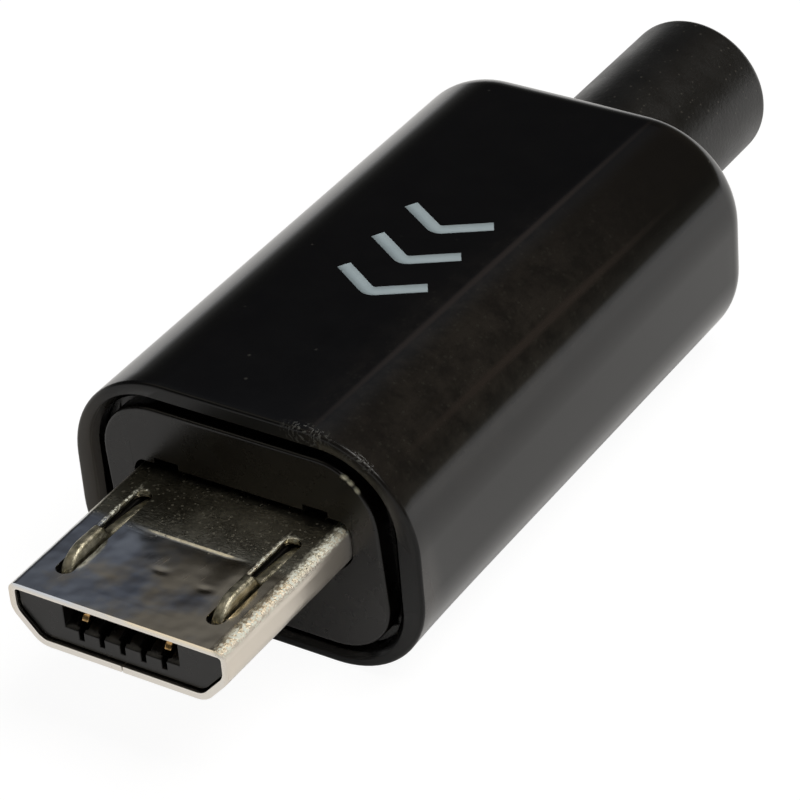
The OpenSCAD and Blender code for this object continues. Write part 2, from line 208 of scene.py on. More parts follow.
def drawLines(*chains):
    points, edges = [], []
    for chain in chains:
        edges += [(len(points) + i, len(points) + i + 1) for i in range(len(chain) - 1)]
        points += chain
    mesh = bpy.data.meshes.new("lines")
    mesh.from_pydata(points, edges, [])
    return mesh


def growShape(source, tree, values):
    maker = addObject("maker", source)
    modifier = maker.modifiers.new("shape", "NODES")
    modifier.node_group = tree
    for item in tree.interface.items_tree:
        if item.in_out == "INPUT" and item.name in values:
            modifier[item.identifier] = values[item.name]
    graph = bpy.context.evaluated_depsgraph_get()
    mesh = bpy.data.meshes.new_from_object(maker.evaluated_get(graph))
    maker.modifiers.remove(modifier)
    bpy.data.objects.remove(maker)
    return mesh


def shapeGroup(name, **sizes):
    return newGroup(name, "GeometryNodeTree", {"Geometry": None, **sizes}, {"Geometry": None})


def endShape(tree, source, outside, material):
    scaled = addNode(tree, "GeometryNodeTransform", {"Geometry": source, "Scale": (mm, mm, mm)})
    smooth = addNode(tree, "GeometryNodeSetShadeSmooth", {0: scaled})
    real = addNode(tree, "GeometryNodeRealizeInstances", {0: smooth})
    finish = addNode(tree, "GeometryNodeSetMaterial", {0: real, "Material": material})
    setInputs(tree, outside, {"Geometry": finish})
    return tree


def filletLine(tree, line, radius, steps):
    return addNode(tree, "GeometryNodeFilletCurve",
                   {"Curve": line, "Radius": radius, "Count": steps, "Limit Radius": True}, mode="POLY")


def barProfile(tree, width, height):
    return addNode(tree, "GeometryNodeCurvePrimitiveQuadrilateral", {"Width": width, "Height": height},
                   mode="RECTANGLE")


def sweep(tree, path, profile, normal=None):
    values = {0: path, "Normal": normal} if normal else {0: path}
    level = addNode(tree, "GeometryNodeSetCurveNormal", values, mode="FREE" if normal else "Z_UP")
    return addNode(tree, "GeometryNodeCurveToMesh",
                   {"Curve": level, "Profile Curve": profile, "Fill Caps": True})


# Shared surface effects. All take a position in millimetres and put out their mask first.

effects = {
    "speckEdge": 12.0, "scratchNoise": {"Scale": 1.0, "Detail": 2.0, "Roughness": 0.6}, "scratchLevel": 0.78,
    "patchEdge": {"From Min": 1.0, "From Max": 0.2}, "fleckNoise": {"Detail": 5.0, "Roughness": 0.7},
    "fleckEdge": 9.0, "swirlWave": {"Detail": 2.5, "Detail Scale": 1.8, "Detail Roughness": 0.6},
    "swirlLevel": 0.45, "swirlEdge": 2.2,
}
origin = (0.0, 0.0, 0.0)


def effectGroup(name, *outputs, **inputs):
    return newGroup(name, "ShaderNodeTree", {"Position": origin, **inputs}, dict.fromkeys(outputs, 0.0))


# Masks real dust specks, and also the painted glitter highlights on the shell's bends
def makeSpeckGroup(look):
    tree, inside, outside = effectGroup("dustAndPaintedGlitterSpecks", "Mask", Cell=0.2, Share=0.3, Size=0.25)
    density = mathNode(tree, "DIVIDE", 1.0, (inside, "Cell"))
    cells = addNode(tree, "ShaderNodeTexVoronoi",
                    {"Vector": (inside, "Position"), "Scale": density, "Randomness": 1.0}, feature="F1")
    tone = addNode(tree, "ShaderNodeSeparateColor", {0: (cells, "Color")})
    chosen = mathNode(tree, "LESS_THAN", tone, (inside, "Share"))
    size = mathNode(tree, "MULTIPLY", (tone, 1), (inside, "Size"))
    near = mathNode(tree, "SUBTRACT", size, (cells, "Distance"))
    soft = mathNode(tree, "MULTIPLY", near, look["speckEdge"], clamp=True)
    setInputs(tree, outside, {"Mask": mathNode(tree, "MULTIPLY", soft, chosen, clamp=True)})
    return tree


def makeScratchGroup(look):
    tree, inside, outside = effectGroup("hairScratches", "Mask", Turn=origin, Stretch=(1.0, 12.0, 1.0),
                                        Share=0.1, Sharpness=14.0)
    turned = addNode(tree, "ShaderNodeMapping",
                     {"Vector": (inside, "Position"), "Rotation": (inside, "Turn")})
    stretched = vectorNode(tree, "MULTIPLY", turned, (inside, "Stretch"))
    streaks = addNode(tree, "ShaderNodeTexNoise", {"Vector": stretched, **look["scratchNoise"]})
    level = mathNode(tree, "SUBTRACT", look["scratchLevel"], (inside, "Share"))
    above = mathNode(tree, "SUBTRACT", streaks, level)
    setInputs(tree, outside, {"Mask": mathNode(tree, "MULTIPLY", above, (inside, "Sharpness"), clamp=True)})
    return tree


# Masks worn areas, and also painted highlights, sheen and reflection lines
def makePatchGroup(look):
    tree, inside, outside = effectGroup("wearAndPaintedLightPatch", "Mask", "Area", Centre=origin, Reach=(1.0, 1.0, 1.0),
                                        Breakup=8.0, Cover=0.5)
    offset = vectorNode(tree, "SUBTRACT", (inside, "Position"), (inside, "Centre"))
    scaled = vectorNode(tree, "DIVIDE", offset, (inside, "Reach"))
    distance = vectorNode(tree, "LENGTH", scaled)
    area = addNode(tree, "ShaderNodeMapRange", {"Value": (distance, "Value"), **look["patchEdge"]},
                   interpolation_type="SMOOTHSTEP")
    flecks = addNode(tree, "ShaderNodeTexNoise",
                     {"Vector": (inside, "Position"), "Scale": (inside, "Breakup"), **look["fleckNoise"]})
    shifted = mathNode(tree, "ADD", flecks, (inside, "Cover"))
    lowered = mathNode(tree, "SUBTRACT", shifted, 1.0)
    crisp = mathNode(tree, "MULTIPLY", lowered, look["fleckEdge"], clamp=True)
    setInputs(tree, outside, {"Mask": mathNode(tree, "MULTIPLY", crisp, area, clamp=True), "Area": area})
    return tree


def makeSwirlGroup(look):
    tree, inside, outside = effectGroup("swirlScratches", "Mask", Centre=origin, Rings=2.5, Twist=4.0)
    offset = vectorNode(tree, "SUBTRACT", (inside, "Position"), (inside, "Centre"))
    wave = addNode(tree, "ShaderNodeTexWave", {"Vector": offset, "Scale": (inside, "Rings"),
                                               "Distortion": (inside, "Twist"), **look["swirlWave"]},
                   wave_type="RINGS", rings_direction="SPHERICAL")
    above = mathNode(tree, "SUBTRACT", (wave, "Fac"), look["swirlLevel"])
    setInputs(tree, outside, {"Mask": mathNode(tree, "MULTIPLY", above, look["swirlEdge"], clamp=True)})
    return tree


speckGroup = makeSpeckGroup(effects)
scratchGroup = makeScratchGroup(effects)
patchGroup = makePatchGroup(effects)
swirlGroup = makeSwirlGroup(effects)
print("surface effects: dustAndPaintedGlitterSpecks, hairScratches, wearAndPaintedLightPatch, swirlScratches")


# Materials. Noise is given as scale, detail and roughness, a bump as strength and depth.

def newMaterial(name):
    material = bpy.data.materials.new(name)
    tree = emptyTree(material)
    shader = addNode(tree, "ShaderNodeBsdfPrincipled")
    addNode(tree, "ShaderNodeOutputMaterial", {"Surface": shader})
    coordinates = addNode(tree, "ShaderNodeTexCoord")
    place = addNode(tree, "ShaderNodeMapping", {"Vector": (coordinates, "Object"),
                                                "Scale": (1 / mm, 1 / mm, 1 / mm)})
    return material, tree, shader, place


def useGroup(tree, group, place, **values):
    return addNode(tree, "ShaderNodeGroup", {"Position": place, **values}, node_tree=group)


def noiseAt(tree, place, scale, detail, roughness):
    return addNode(tree, "ShaderNodeTexNoise",
                   {"Vector": place, "Scale": scale, "Detail": detail, "Roughness": roughness})


def blendColours(tree, factor, first, second):
    first, second = (colour if isSource(colour) else (*colour, 1.0) for colour in (first, second))
    mix = addNode(tree, "ShaderNodeMix", {0: factor, 6: first, 7: second}, data_type="RGBA")
    return mix, 2


def rangeOf(tree, source, low, high, fromLow=0.0, fromHigh=1.0):
    return addNode(tree, "ShaderNodeMapRange", {"Value": source, "From Min": fromLow, "From Max": fromHigh,
                                                "To Min": low, "To Max": high})


def bumpFrom(tree, height, strength, depth, before=None):
    bump = addNode(tree, "ShaderNodeBump", {"Height": height, "Strength": strength, "Distance": depth * mm})
    if before is not None:
        setInputs(tree, bump, {"Normal": before})
    return bump


# Housing: polished, with a dusty smear along the right rounding, painted reflection lines along it, and a
# painted sheen patch. The rim is duller and scuffed.

housingFinish = {
    "colours": ((0.0026, 0.0026, 0.0029), (0.0042, 0.0040, 0.0038)), "haze": (0.9, 5.0, 0.6),
    "hazeRange": (0.3, 0.7), "roughness": (0.07, 0.13), "ior": 1.5, "rimIor": 1.33,
    "rimRoughness": 0.2, "rim": (-9.15, -9.32),
    # Painted sheen: paler patches where reflections are brighter, on the right side near the rim and on the
    # left rim
    "sidePaintedSheen": ((5.5, -9.3, 2.2), (1.2, 1.3, 3.4), (0.068, 0.063, 0.059)),
    "rimPaintedSheen": ((-5.3, -9.35, 3.9), (2.0, 0.5, 5.2), (0.072, 0.065, 0.056)),
    "smear": {"Centre": (4.0, -4.6, 6.6), "Reach": (3.2, 12.5, 2.9)}, "smearColour": (0.0175, 0.0152, 0.0128),
    "blotches": (1.3, 6.0, 0.7), "blotchRange": (0.3, 1.0, 0.4, 0.6),
    "dust": {"Cell": 0.5, "Share": 0.22, "Size": 0.14}, "dustColour": (0.04, 0.039, 0.035),
    "film": {"Cell": 0.14, "Share": 0.6, "Size": 0.45}, "filmColour": (0.022, 0.0215, 0.0175),
    "wipes": {"Turn": (0, 0, 0.06), "Stretch": (5, 0.22, 5), "Share": 0.22, "Sharpness": 4.0},
    # The reflection lines set here and on the next line are painted: pale brownish bands along the right
    # rounding
    "wipeColour": (0.010, 0.0088, 0.0072), "paintedReflectionTurn": (0, 0, 0.018), "paintedReflectionColour": (0.023, 0.0182, 0.0155),
    "lines": (((2.57, -1.0, 7.42), (0.15, 13.0, 0.5)), ((4.59, -1.5, 6.48), (0.15, 11.0, 0.3))),
    "scuffs": (((2.3, -9.28, 7.36), (1.0, 0.38, 0.45)), ((3.9, -9.28, 6.95), (0.85, 0.2, 0.45))),
    "scuffFlecks": {"Breakup": 6.0, "Cover": 0.55}, "scuffSwirl": {"Rings": 2.3, "Twist": 10.0},
    "scuffColour": (0.085, 0.085, 0.077), "scuffRoughness": 0.4, "scuffBump": (0.6, 0.02),
    "scratches": {"Turn": (0, 0, 0.5), "Stretch": (9, 0.7, 2), "Share": 0.05}, "scratchBump": (0.2, 0.003),
}


def makeHousingMaterial(title, look, ior, paintedSheen):
    material, tree, shader, place = newMaterial(title)
    haze = noiseAt(tree, place, *look["haze"])
    smear = (useGroup(tree, patchGroup, place, **look["smear"]), "Area")
    blotches = rangeOf(tree, noiseAt(tree, place, *look["blotches"]), *look["blotchRange"])
    smeared = mathNode(tree, "MULTIPLY", smear, blotches)
    specks, film = (useGroup(tree, speckGroup, place, **look[name]) for name in ("dust", "film"))
    settled = mathNode(tree, "MULTIPLY", film, smeared)
    wipes = useGroup(tree, scratchGroup, place, **look["wipes"])
    wiped = mathNode(tree, "MULTIPLY", wipes, smear)
    colour = blendColours(tree, haze, *look["colours"])
    for name, mask in (("smear", smeared), ("dust", specks), ("film", settled), ("wipe", wiped)):
        colour = blendColours(tree, mask, colour, look[name + "Colour"])
    # Painted reflection lines along the right rounding
    along = addNode(tree, "ShaderNodeMapping", {"Vector": place, "Rotation": look["paintedReflectionTurn"]})
    for centre, reach in look["lines"]:
        line = useGroup(tree, patchGroup, along, Centre=centre, Reach=reach)
        colour = blendColours(tree, (line, "Area"), colour, look["paintedReflectionColour"])
    # A paler patch painted where a brighter reflection falls (painted sheen)
    paintedSheenPatch = useGroup(tree, patchGroup, place, Centre=paintedSheen[0], Reach=paintedSheen[1])
    colour = blendColours(tree, (paintedSheenPatch, "Area"), colour, paintedSheen[2])
    scuffed = None
    for centre, reach in look["scuffs"]:
        area = useGroup(tree, patchGroup, place, Centre=centre, Reach=reach, **look["scuffFlecks"])
        swirl = useGroup(tree, swirlGroup, place, Centre=centre, **look["scuffSwirl"])
        scuff = mathNode(tree, "MULTIPLY", swirl, area)
        colour = blendColours(tree, scuff, colour, look["scuffColour"])
        scuffed = mathNode(tree, "MAXIMUM", scuffed, scuff) if scuffed else scuff
    gloss = rangeOf(tree, haze, *look["roughness"], *look["hazeRange"])
    split = addNode(tree, "ShaderNodeSeparateXYZ", {0: place})
    rim = rangeOf(tree, (split, "Y"), 0.0, look["rimRoughness"], *look["rim"])
    duller = mathNode(tree, "ADD", gloss, rim)
    rough = mathNode(tree, "MULTIPLY_ADD", scuffed, look["scuffRoughness"], duller)
    scratches = useGroup(tree, scratchGroup, place, **look["scratches"])
    bump = bumpFrom(tree, scratches, *look["scratchBump"])
    bump = bumpFrom(tree, scuffed, *look["scuffBump"], bump)
    setInputs(tree, shader, {"Base Color": colour, "Roughness": rough, "Normal": bump, "IOR": ior})
    return material


polishedBlack = makeHousingMaterial("polishedBlack", housingFinish, housingFinish["ior"],
                                    housingFinish["sidePaintedSheen"])
dullRim = makeHousingMaterial("dullRim", housingFinish, housingFinish["rimIor"], housingFinish["rimPaintedSheen"])


# Shell: bright walls, a cool to warm top, a dusty zone before the collar, and painted glitter highlights
# where the sheet bends

shellFinish = {
    "coolColour": (0.70, 0.74, 0.80), "warmColour": (0.98, 0.85, 0.63), "plainColour": (0.82, 0.78, 0.72),
    "wallColour": (0.87, 0.80, 0.70), "tone": (0.75, 3.0, 0.55), "sideTint": 0.09, "tintRange": (0.4, 0.66),
    "rearColours": ((0.36, 0.34, 0.26), (0.95, 0.90, 0.72)), "mottle": (7.0, 4.0, 0.75), "rearLean": 0.14,
    "mottleRange": (0.24, 0.66), "walls": (3.2, 3.4), "wallTone": (-9.3, -9.9), "wallMatte": 0.15,
    "rear": (-11.85, -11.5), "top": (4.5, 4.62),
    "dust": {"Cell": 0.085, "Share": 0.3, "Size": 0.5}, "dustColour": (0.07, 0.066, 0.05),
    # Painted glitter: pale specks standing for sparkling highlights on the bends
    "paintedGlitter": {"Cell": 0.08, "Share": 0.9, "Size": 0.95}, "paintedGlitterColour": (0.98, 1.0, 0.87),
    "bends": (((3.24, -12.3, 4.65), (0.35, 40.0, 0.23)), ((2.07, -11.3, 4.65), (0.11, 1.6, 0.12)),
              ((-2.67, -11.3, 4.65), (0.11, 1.6, 0.12)), ((2.25, -10.27, 4.62), (0.24, 0.17, 0.17)),
              ((-2.49, -10.27, 4.62), (0.24, 0.17, 0.17))),
    "roughness": (0.14, 0.22), "toneRange": (0.35, 0.65), "scratchRoughness": 0.1, "rearRoughness": 0.08,
    "bendRoughness": 0.3, "wallRoughness": 0.16,
    "scratches": {"Turn": (0, 0, 0.2), "Stretch": (14, 1.0, 6), "Share": 0.08}, "scratchBump": (0.2, 0.003),
    "wave": (1.4, 1.0, 0.5), "waveBump": (0.8, 0.022), "grain": (11.0, 3.0, 0.7), "grainBump": (0.8, 0.014),
    "frontGrain": 0.03, "facet": (15.0, 2.0, 0.7), "facetBump": (1.0, 0.045),
}


def makeShellMaterial(look):
    material, tree, shader, place = newMaterial("nickelPlate")
    split = addNode(tree, "ShaderNodeSeparateXYZ", {0: place})
    wall = rangeOf(tree, mathNode(tree, "ABSOLUTE", split), 0.0, 1.0, *look["walls"])
    top = rangeOf(tree, (split, "Z"), 0.0, 1.0, *look["top"])
    rear = mathNode(tree, "MULTIPLY", rangeOf(tree, (split, "Y"), 0.0, 1.0, *look["rear"]), top)
    bend = None
    for centre, reach in look["bends"]:
        part = (useGroup(tree, patchGroup, place, Centre=centre, Reach=reach), "Area")
        bend = mathNode(tree, "MAXIMUM", bend, part) if bend else part
    tone = noiseAt(tree, place, *look["tone"])
    leaning = mathNode(tree, "MULTIPLY_ADD", split, look["sideTint"], tone)
    tint = rangeOf(tree, leaning, 0.0, 1.0, *look["tintRange"])
    colour = blendColours(tree, tint, look["coolColour"], look["warmColour"])
    colour = blendColours(tree, top, look["plainColour"], colour)
    mottle = mathNode(tree, "MULTIPLY_ADD", split, look["rearLean"], noiseAt(tree, place, *look["mottle"]))
    patchy = rangeOf(tree, mottle, 0.0, 1.0, *look["mottleRange"])
    colour = blendColours(tree, rear, colour, blendColours(tree, patchy, *look["rearColours"]))
    inFront = rangeOf(tree, (split, "Y"), 0.0, 1.0, *look["wallTone"])
    colour = blendColours(tree, mathNode(tree, "MULTIPLY", wall, inFront), colour, look["wallColour"])
    spots = []
    # Dust specks in the rear zone, and painted glitter highlights on the bends
    for name, area in (("dust", rear), ("paintedGlitter", bend)):
        specks = useGroup(tree, speckGroup, place, **look[name])
        spots.append(mathNode(tree, "MULTIPLY", specks, area))
        colour = blendColours(tree, spots[-1], colour, look[name + "Colour"])
    chalky = mathNode(tree, "MULTIPLY", wall, look["wallMatte"])
    matte = mathNode(tree, "MAXIMUM", mathNode(tree, "MAXIMUM", *spots), chalky)
    bare = mathNode(tree, "SUBTRACT", 1.0, matte)
    scratches = useGroup(tree, scratchGroup, place, **look["scratches"])
    rough = rangeOf(tree, tone, *look["roughness"], *look["toneRange"])
    for name, mask in (("scratch", scratches), ("rear", rear), ("bend", bend), ("wall", wall)):
        rough = mathNode(tree, "MULTIPLY_ADD", mask, look[name + "Roughness"], rough)
    coarser = rangeOf(tree, rear, look["frontGrain"], 1.0)
    bump = None
    for name, area in (("wave", top), ("grain", coarser), ("facet", bend)):
        height = mathNode(tree, "MULTIPLY", noiseAt(tree, place, *look[name]), area)
        bump = bumpFrom(tree, height, *look[name + "Bump"], bump)
    bump = bumpFrom(tree, scratches, *look["scratchBump"], bump)
    setInputs(tree, shader, {"Base Color": colour, "Metallic": bare, "Roughness": rough, "Normal": bump})
    return material


nickelPlate = makeShellMaterial(shellFinish)


# The other finishes share one recipe: tone, dust, painted glints on an edge, gloss by the tone, brushing and
# grain

plainFinish = {"glossRange": (0.3, 0.7), "paintedGlints": (), "metallic": 0.0, "ior": 1.5}
collarFinish = {
    "colours": ((0.0032, 0.0021, 0.0014), (0.0046, 0.0034, 0.0025)), "tone": (1.1, 5.0, 0.6),
    "roughness": (0.24, 0.32), "ior": 1.43, "dust": {"Cell": 0.4, "Share": 0.16, "Size": 0.12},
    "dustColour": (0.022, 0.020, 0.018), "grain": (16.0, 3.0, 0.6), "grainBump": (0.12, 0.004),
    # Painted highlight: pale glints painted along the top right corner edge
    "paintedGlints": (((3.45, -9.33, 6.37), (0.2, 0.12, 0.12)), ((3.62, -9.33, 6.26), (0.18, 0.12, 0.14)),
               ((3.8, -9.33, 6.1), (0.15, 0.12, 0.18))),
    "paintedGlintFlecks": {"Breakup": 9.0, "Cover": 0.7}, "paintedGlintColour": (0.75, 0.72, 0.54),
}
sleeveFinish = {
    "colours": ((0.0026, 0.0026, 0.0022), (0.0062, 0.0058, 0.0050)), "tone": (0.8, 6.0, 0.62),
    "roughness": (0.30, 0.42), "dust": {"Cell": 0.15, "Share": 0.5, "Size": 0.3},
    "dustColour": (0.050, 0.047, 0.040), "grain": (9.0, 4.0, 0.65), "grainBump": (0.5, 0.02),
}
latchFinish = {
    "colours": ((0.27, 0.25, 0.17), (0.58, 0.54, 0.41)), "tone": (3.2, 5.0, 0.6), "toneRange": (0.35, 0.65),
    "roughness": (0.3, 0.46), "glossRange": (0.35, 0.65), "metallic": 1.0,
    "brushing": {"Turn": (0, 0, 0), "Stretch": (3, 2.0, 22), "Share": 0.2}, "brushBump": (0.3, 0.006),
    "grain": (9.0, 3.0, 0.7), "grainBump": (0.8, 0.036),
}
goldFinish = {
    "colours": ((0.72, 0.40, 0.13), (0.95, 0.66, 0.32)), "tone": (3.0, 4.0, 0.6), "roughness": (0.2, 0.34),
    "metallic": 1.0, "grain": (30.0, 3.0, 0.6), "grainBump": (0.15, 0.004),
}
insulatorFinish = {
    "colours": ((0.0058, 0.0052, 0.0046), (0.0095, 0.0087, 0.0078)), "tone": (2.0, 5.0, 0.6),
    "roughness": (0.24, 0.36), "ior": 1.44, "dust": {"Cell": 0.2, "Share": 0.16, "Size": 0.18},
    "dustColour": (0.035, 0.033, 0.030), "grain": (22.0, 3.0, 0.6), "grainBump": (0.2, 0.005),
}
inkFinish = {
    "colours": ((0.37, 0.46, 0.50), (0.46, 0.55, 0.59)), "tone": (1.6, 5.0, 0.6), "roughness": (0.4, 0.55),
    "dust": {"Cell": 0.2, "Share": 0.2, "Size": 0.2}, "dustColour": (0.18, 0.21, 0.22),
    "grain": (14.0, 3.0, 0.6), "grainBump": (0.2, 0.004),
}


def makeFinish(name, changes):
    look = {**plainFinish, **changes}
    material, tree, shader, place = newMaterial(name)
    tone = noiseAt(tree, place, *look["tone"])
    patchy = rangeOf(tree, tone, 0.0, 1.0, *look["toneRange"]) if "toneRange" in look else tone
    colour = blendColours(tree, patchy, *look["colours"])
    if "dust" in look:
        specks = useGroup(tree, speckGroup, place, **look["dust"])
        colour = blendColours(tree, specks, colour, look["dustColour"])
    # Painted glints: pale patches standing for a highlight on an edge
    for centre, reach in look["paintedGlints"]:
        paintedGlint = useGroup(tree, patchGroup, place, Centre=centre, Reach=reach, **look["paintedGlintFlecks"])
        colour = blendColours(tree, paintedGlint, colour, look["paintedGlintColour"])
    rough = rangeOf(tree, tone, *look["roughness"], *look["glossRange"])
    bump = None
    if "brushing" in look:
        brushed = useGroup(tree, scratchGroup, place, **look["brushing"])
        bump = bumpFrom(tree, brushed, *look["brushBump"])
    bump = bumpFrom(tree, noiseAt(tree, place, *look["grain"]), *look["grainBump"], bump)
    setInputs(tree, shader, {"Base Color": colour, "Metallic": look["metallic"], "Roughness": rough,
                             "IOR": look["ior"], "Normal": bump})
    return material


satinBlackCollar = makeFinish("satinBlackCollar", collarFinish)
softBlackSleeve = makeFinish("softBlackSleeve", sleeveFinish)
wornLatchSteel = makeFinish("wornLatchSteel", latchFinish)
goldPlate = makeFinish("goldPlate", goldFinish)
darkInsulator = makeFinish("darkInsulator", insulatorFinish)
paleInk = makeFinish("paleInk", inkFinish)
print("materials: 9 finishes")


# Outer housing, a hood lofted from the rear hole forwards over the rim and back along its bore

housing = {
    "front": {"half": 5.42, "top": 7.5, "upperRadius": 3.15, "lowerRadius": 2.9},
    "rear": {"half": 5.4, "top": 7.35, "upperRadius": 3.0, "lowerRadius": 2.82},
    "flare": (0.1, 1.4), "rearRadius": 1.2, "rimRadius": 0.12, "lip": (0.2, 0.14, 0.2),
    "boreWidth": 9.4, "boreHeight": 6.5, "boreRadius": 2.1, "rearWall": 1.5,
    "holeRadius": 2.425, "holeHeight": 3.75, "holeLip": 0.07,
    "arcSteps": 20, "rimSteps": 8, "lengthSteps": 40, "lipShares": (1.0, 0.95, 0.5, 0.05, 0.0),
}
housingBox = [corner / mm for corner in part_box("outer_housing")]


def sectionAt(sizes, name, y):
    low, high = housingBox
    along = (y - low.y) / (high.y - low.y)
    return sizes["front"][name] + (sizes["rear"][name] - sizes["front"][name]) * along


def makeHousing(sizes):
    low, high = housingBox
    mid = (low.z + high.z) / 2
    steps = sizes["arcSteps"]
    lipWidth, lipHeight, lipDepth = sizes["lip"]

    def outerRing(inset, y):
        half, top = sectionAt(sizes, "half", y) - inset, sectionAt(sizes, "top", y) - inset
        width, reach = sizes["flare"]
        flare = width * math.exp((low.y - y) / reach)  # the +X side spreads a little at the rim
        ring = []
        for corner, sideX in enumerate((1, -1, -1, 1)):
            upper = corner < 2
            radius = sectionAt(sizes, "upperRadius" if upper else "lowerRadius", y) - inset
            centreZ = top - radius if upper else low.z + inset + radius
            for step in range(steps + 1):
                angle = math.radians(90 * (corner + step / steps))
                x = sideX * (half - radius) + radius * math.cos(angle)
                x += flare * max(0.0, x / half)
                ring.append(Vector((x, y, centreZ + radius * math.sin(angle))))
        return ring

    def boreRing(share, y):
        width, height = sizes["boreWidth"] + 2 * lipWidth * share, sizes["boreHeight"] + 2 * lipHeight * share
        return roundedRing(width, height, sizes["boreRadius"] + lipHeight * share, y, mid, steps)

    def hole(y, radius):
        return circleRing(outerRing(0, y), radius, y, sizes["holeHeight"])

    rear, front, holeRadius = high.y, low.y, sizes["holeRadius"]
    rearR, rimR, holeLip = sizes["rearRadius"], sizes["rimRadius"], sizes["holeLip"]
    rings = [hole(rear - holeLip, holeRadius), hole(rear, holeRadius + holeLip)]
    rings += [outerRing(rearR * (1 - math.cos(a)), rear - rearR + rearR * math.sin(a))
              for a in reversed(quarterTurn(steps))]
    start, end = rear - rearR, front + rimR
    pieces = sizes["lengthSteps"]
    rings += [outerRing(0, start + (end - start) * i / pieces) for i in range(1, pieces)]
    rim = len(rings) * len(rings[0])
    rings += [outerRing(rimR * (1 - math.cos(a)), front + rimR - rimR * math.sin(a))
              for a in quarterTurn(sizes["rimSteps"])]
    rings += [boreRing(share, front + lipDepth * (1 - share)) for share in sizes["lipShares"]]
    inner = (len(rings) - 2) * len(rings[0])
    rings += [boreRing(0, rear - sizes["rearWall"]), hole(rear - sizes["rearWall"], holeRadius)]
    piece = shadedPiece("glossHousing", meshFrom(loftRings(rings)), "plug_body", "housing", polishedBlack,
                        "outer_housing")
    piece.data.materials.append(dullRim)
    piece.data.materials.append(satinBlackCollar)  # the bore isn't polished
    for index, face in enumerate(piece.data.polygons):
        face.material_index = (index >= rim) + (index >= inner)


makeHousing(housing)
print("housing: lofted hood with rim, bore and rear hole")


# Collar and insulator keep their solids' shape, with soft edges. The collar's window stands off the nose.

collar = {
    "edgeRadius": 0.05, "notchRadius": 0.015, "notches": ((-3.6, -9.4, 4.4), (3.6, -9.3, 5.3)),
    "window": ((-3.5, -9.4, 4.4), (3.5, -5.0, 4.76)), "windowLift": 0.2, "midHeight": 3.65,
    "block": ((-4.5, -9.4, 0.6), (4.5, -8.7, 6.7)), "core": ((-3.8, -9.4, 2.5), (3.8, -8.7, 5.4)),
    "narrow": 0.09, "lean": 0.06, "cornerStart": 2.6, "halfWidth": 4.45,
}
insulator = {"edgeRadius": 0.03}


def makeCollar(sizes):
    bm = softenedCopy("front_collar", sizes["edgeRadius"], within(sizes["notches"]), sizes["notchRadius"])
    inWindow, inBlock, inCore = within(sizes["window"]), within(sizes["block"]), within(sizes["core"])
    windowLow, windowHigh = (corner[2] for corner in sizes["window"])
    for vert in bm.verts:
        if inWindow(vert.co):
            vert.co.z += sizes["windowLift"] * (vert.co.z - windowLow) / (windowHigh - windowLow)
        if inBlock(vert.co) and not inCore(vert.co):
            out = (abs(vert.co.x) - sizes["cornerStart"]) / (sizes["halfWidth"] - sizes["cornerStart"])
            lean = sizes["lean"] * (vert.co.z - sizes["midHeight"])
            vert.co.x -= max(0.0, out) * (math.copysign(sizes["narrow"], vert.co.x) + lean)
    shadedPiece("faceCollar", meshFrom(bm), "plug_body", "collar", satinBlackCollar, "front_collar")


def makeInsulator(sizes):
    bm = softenedCopy("insulator", sizes["edgeRadius"])
    shadedPiece("plugInsulator", meshFrom(bm), "plug_body", "insulator", darkInsulator, "insulator")


makeCollar(collar)
makeInsulator(insulator)
print("collar and insulator: soft edges")


# Nose shell: rolled lip, soft edges, and a pressed panel that fades out at its sides and carries two dents

shell = {
    "edgeRadius": 0.05, "lipRadius": 0.09, "lip": ((-4, -15.2, 2), (4, -15.05, 6)),
    "slots": ((-2.7, -14.4, 4.6), (2.7, -10.1, 4.7)), "panel": ((-1.84, -14.51, 4.57), (1.84, -11.59, 4.66)),
    "fade": 0.8, "depth": 0.055, "step": 0.08, "crease": 0.012,
    "dents": (((-0.08, -12.93), (0.19, 0.1), 0.022), ((1.42, -13.08), (0.2, 0.1), 0.022)),
    "gridStep": 0.08, "gridLines": 50, "fineStep": 0.018, "fineLines": 10, "cutMerge": 1e-5, "merge": 0.002,
}


def panelHeight(sizes, x, y, top):
    (_, front, _), (side, rear, _) = sizes["panel"]
    inward = min(1.0, max(0.0, (side - abs(x)) / sizes["fade"]))
    ease = inward * inward * (3 - 2 * inward)
    slope = (y - front) / (rear - sizes["step"] - front)
    rise = (rear - y) / sizes["step"]
    soft = sizes["crease"] / sizes["step"]
    floor = -soft * math.log(math.exp(-slope / soft) + math.exp(-rise / soft))
    height = top - sizes["depth"] * max(0.0, floor) * ease
    for (dentX, dentY), (spreadX, spreadY), depth in sizes["dents"]:
        height -= depth * math.exp(-((x - dentX) / spreadX) ** 2 - ((y - dentY) / spreadY) ** 2)
    return height


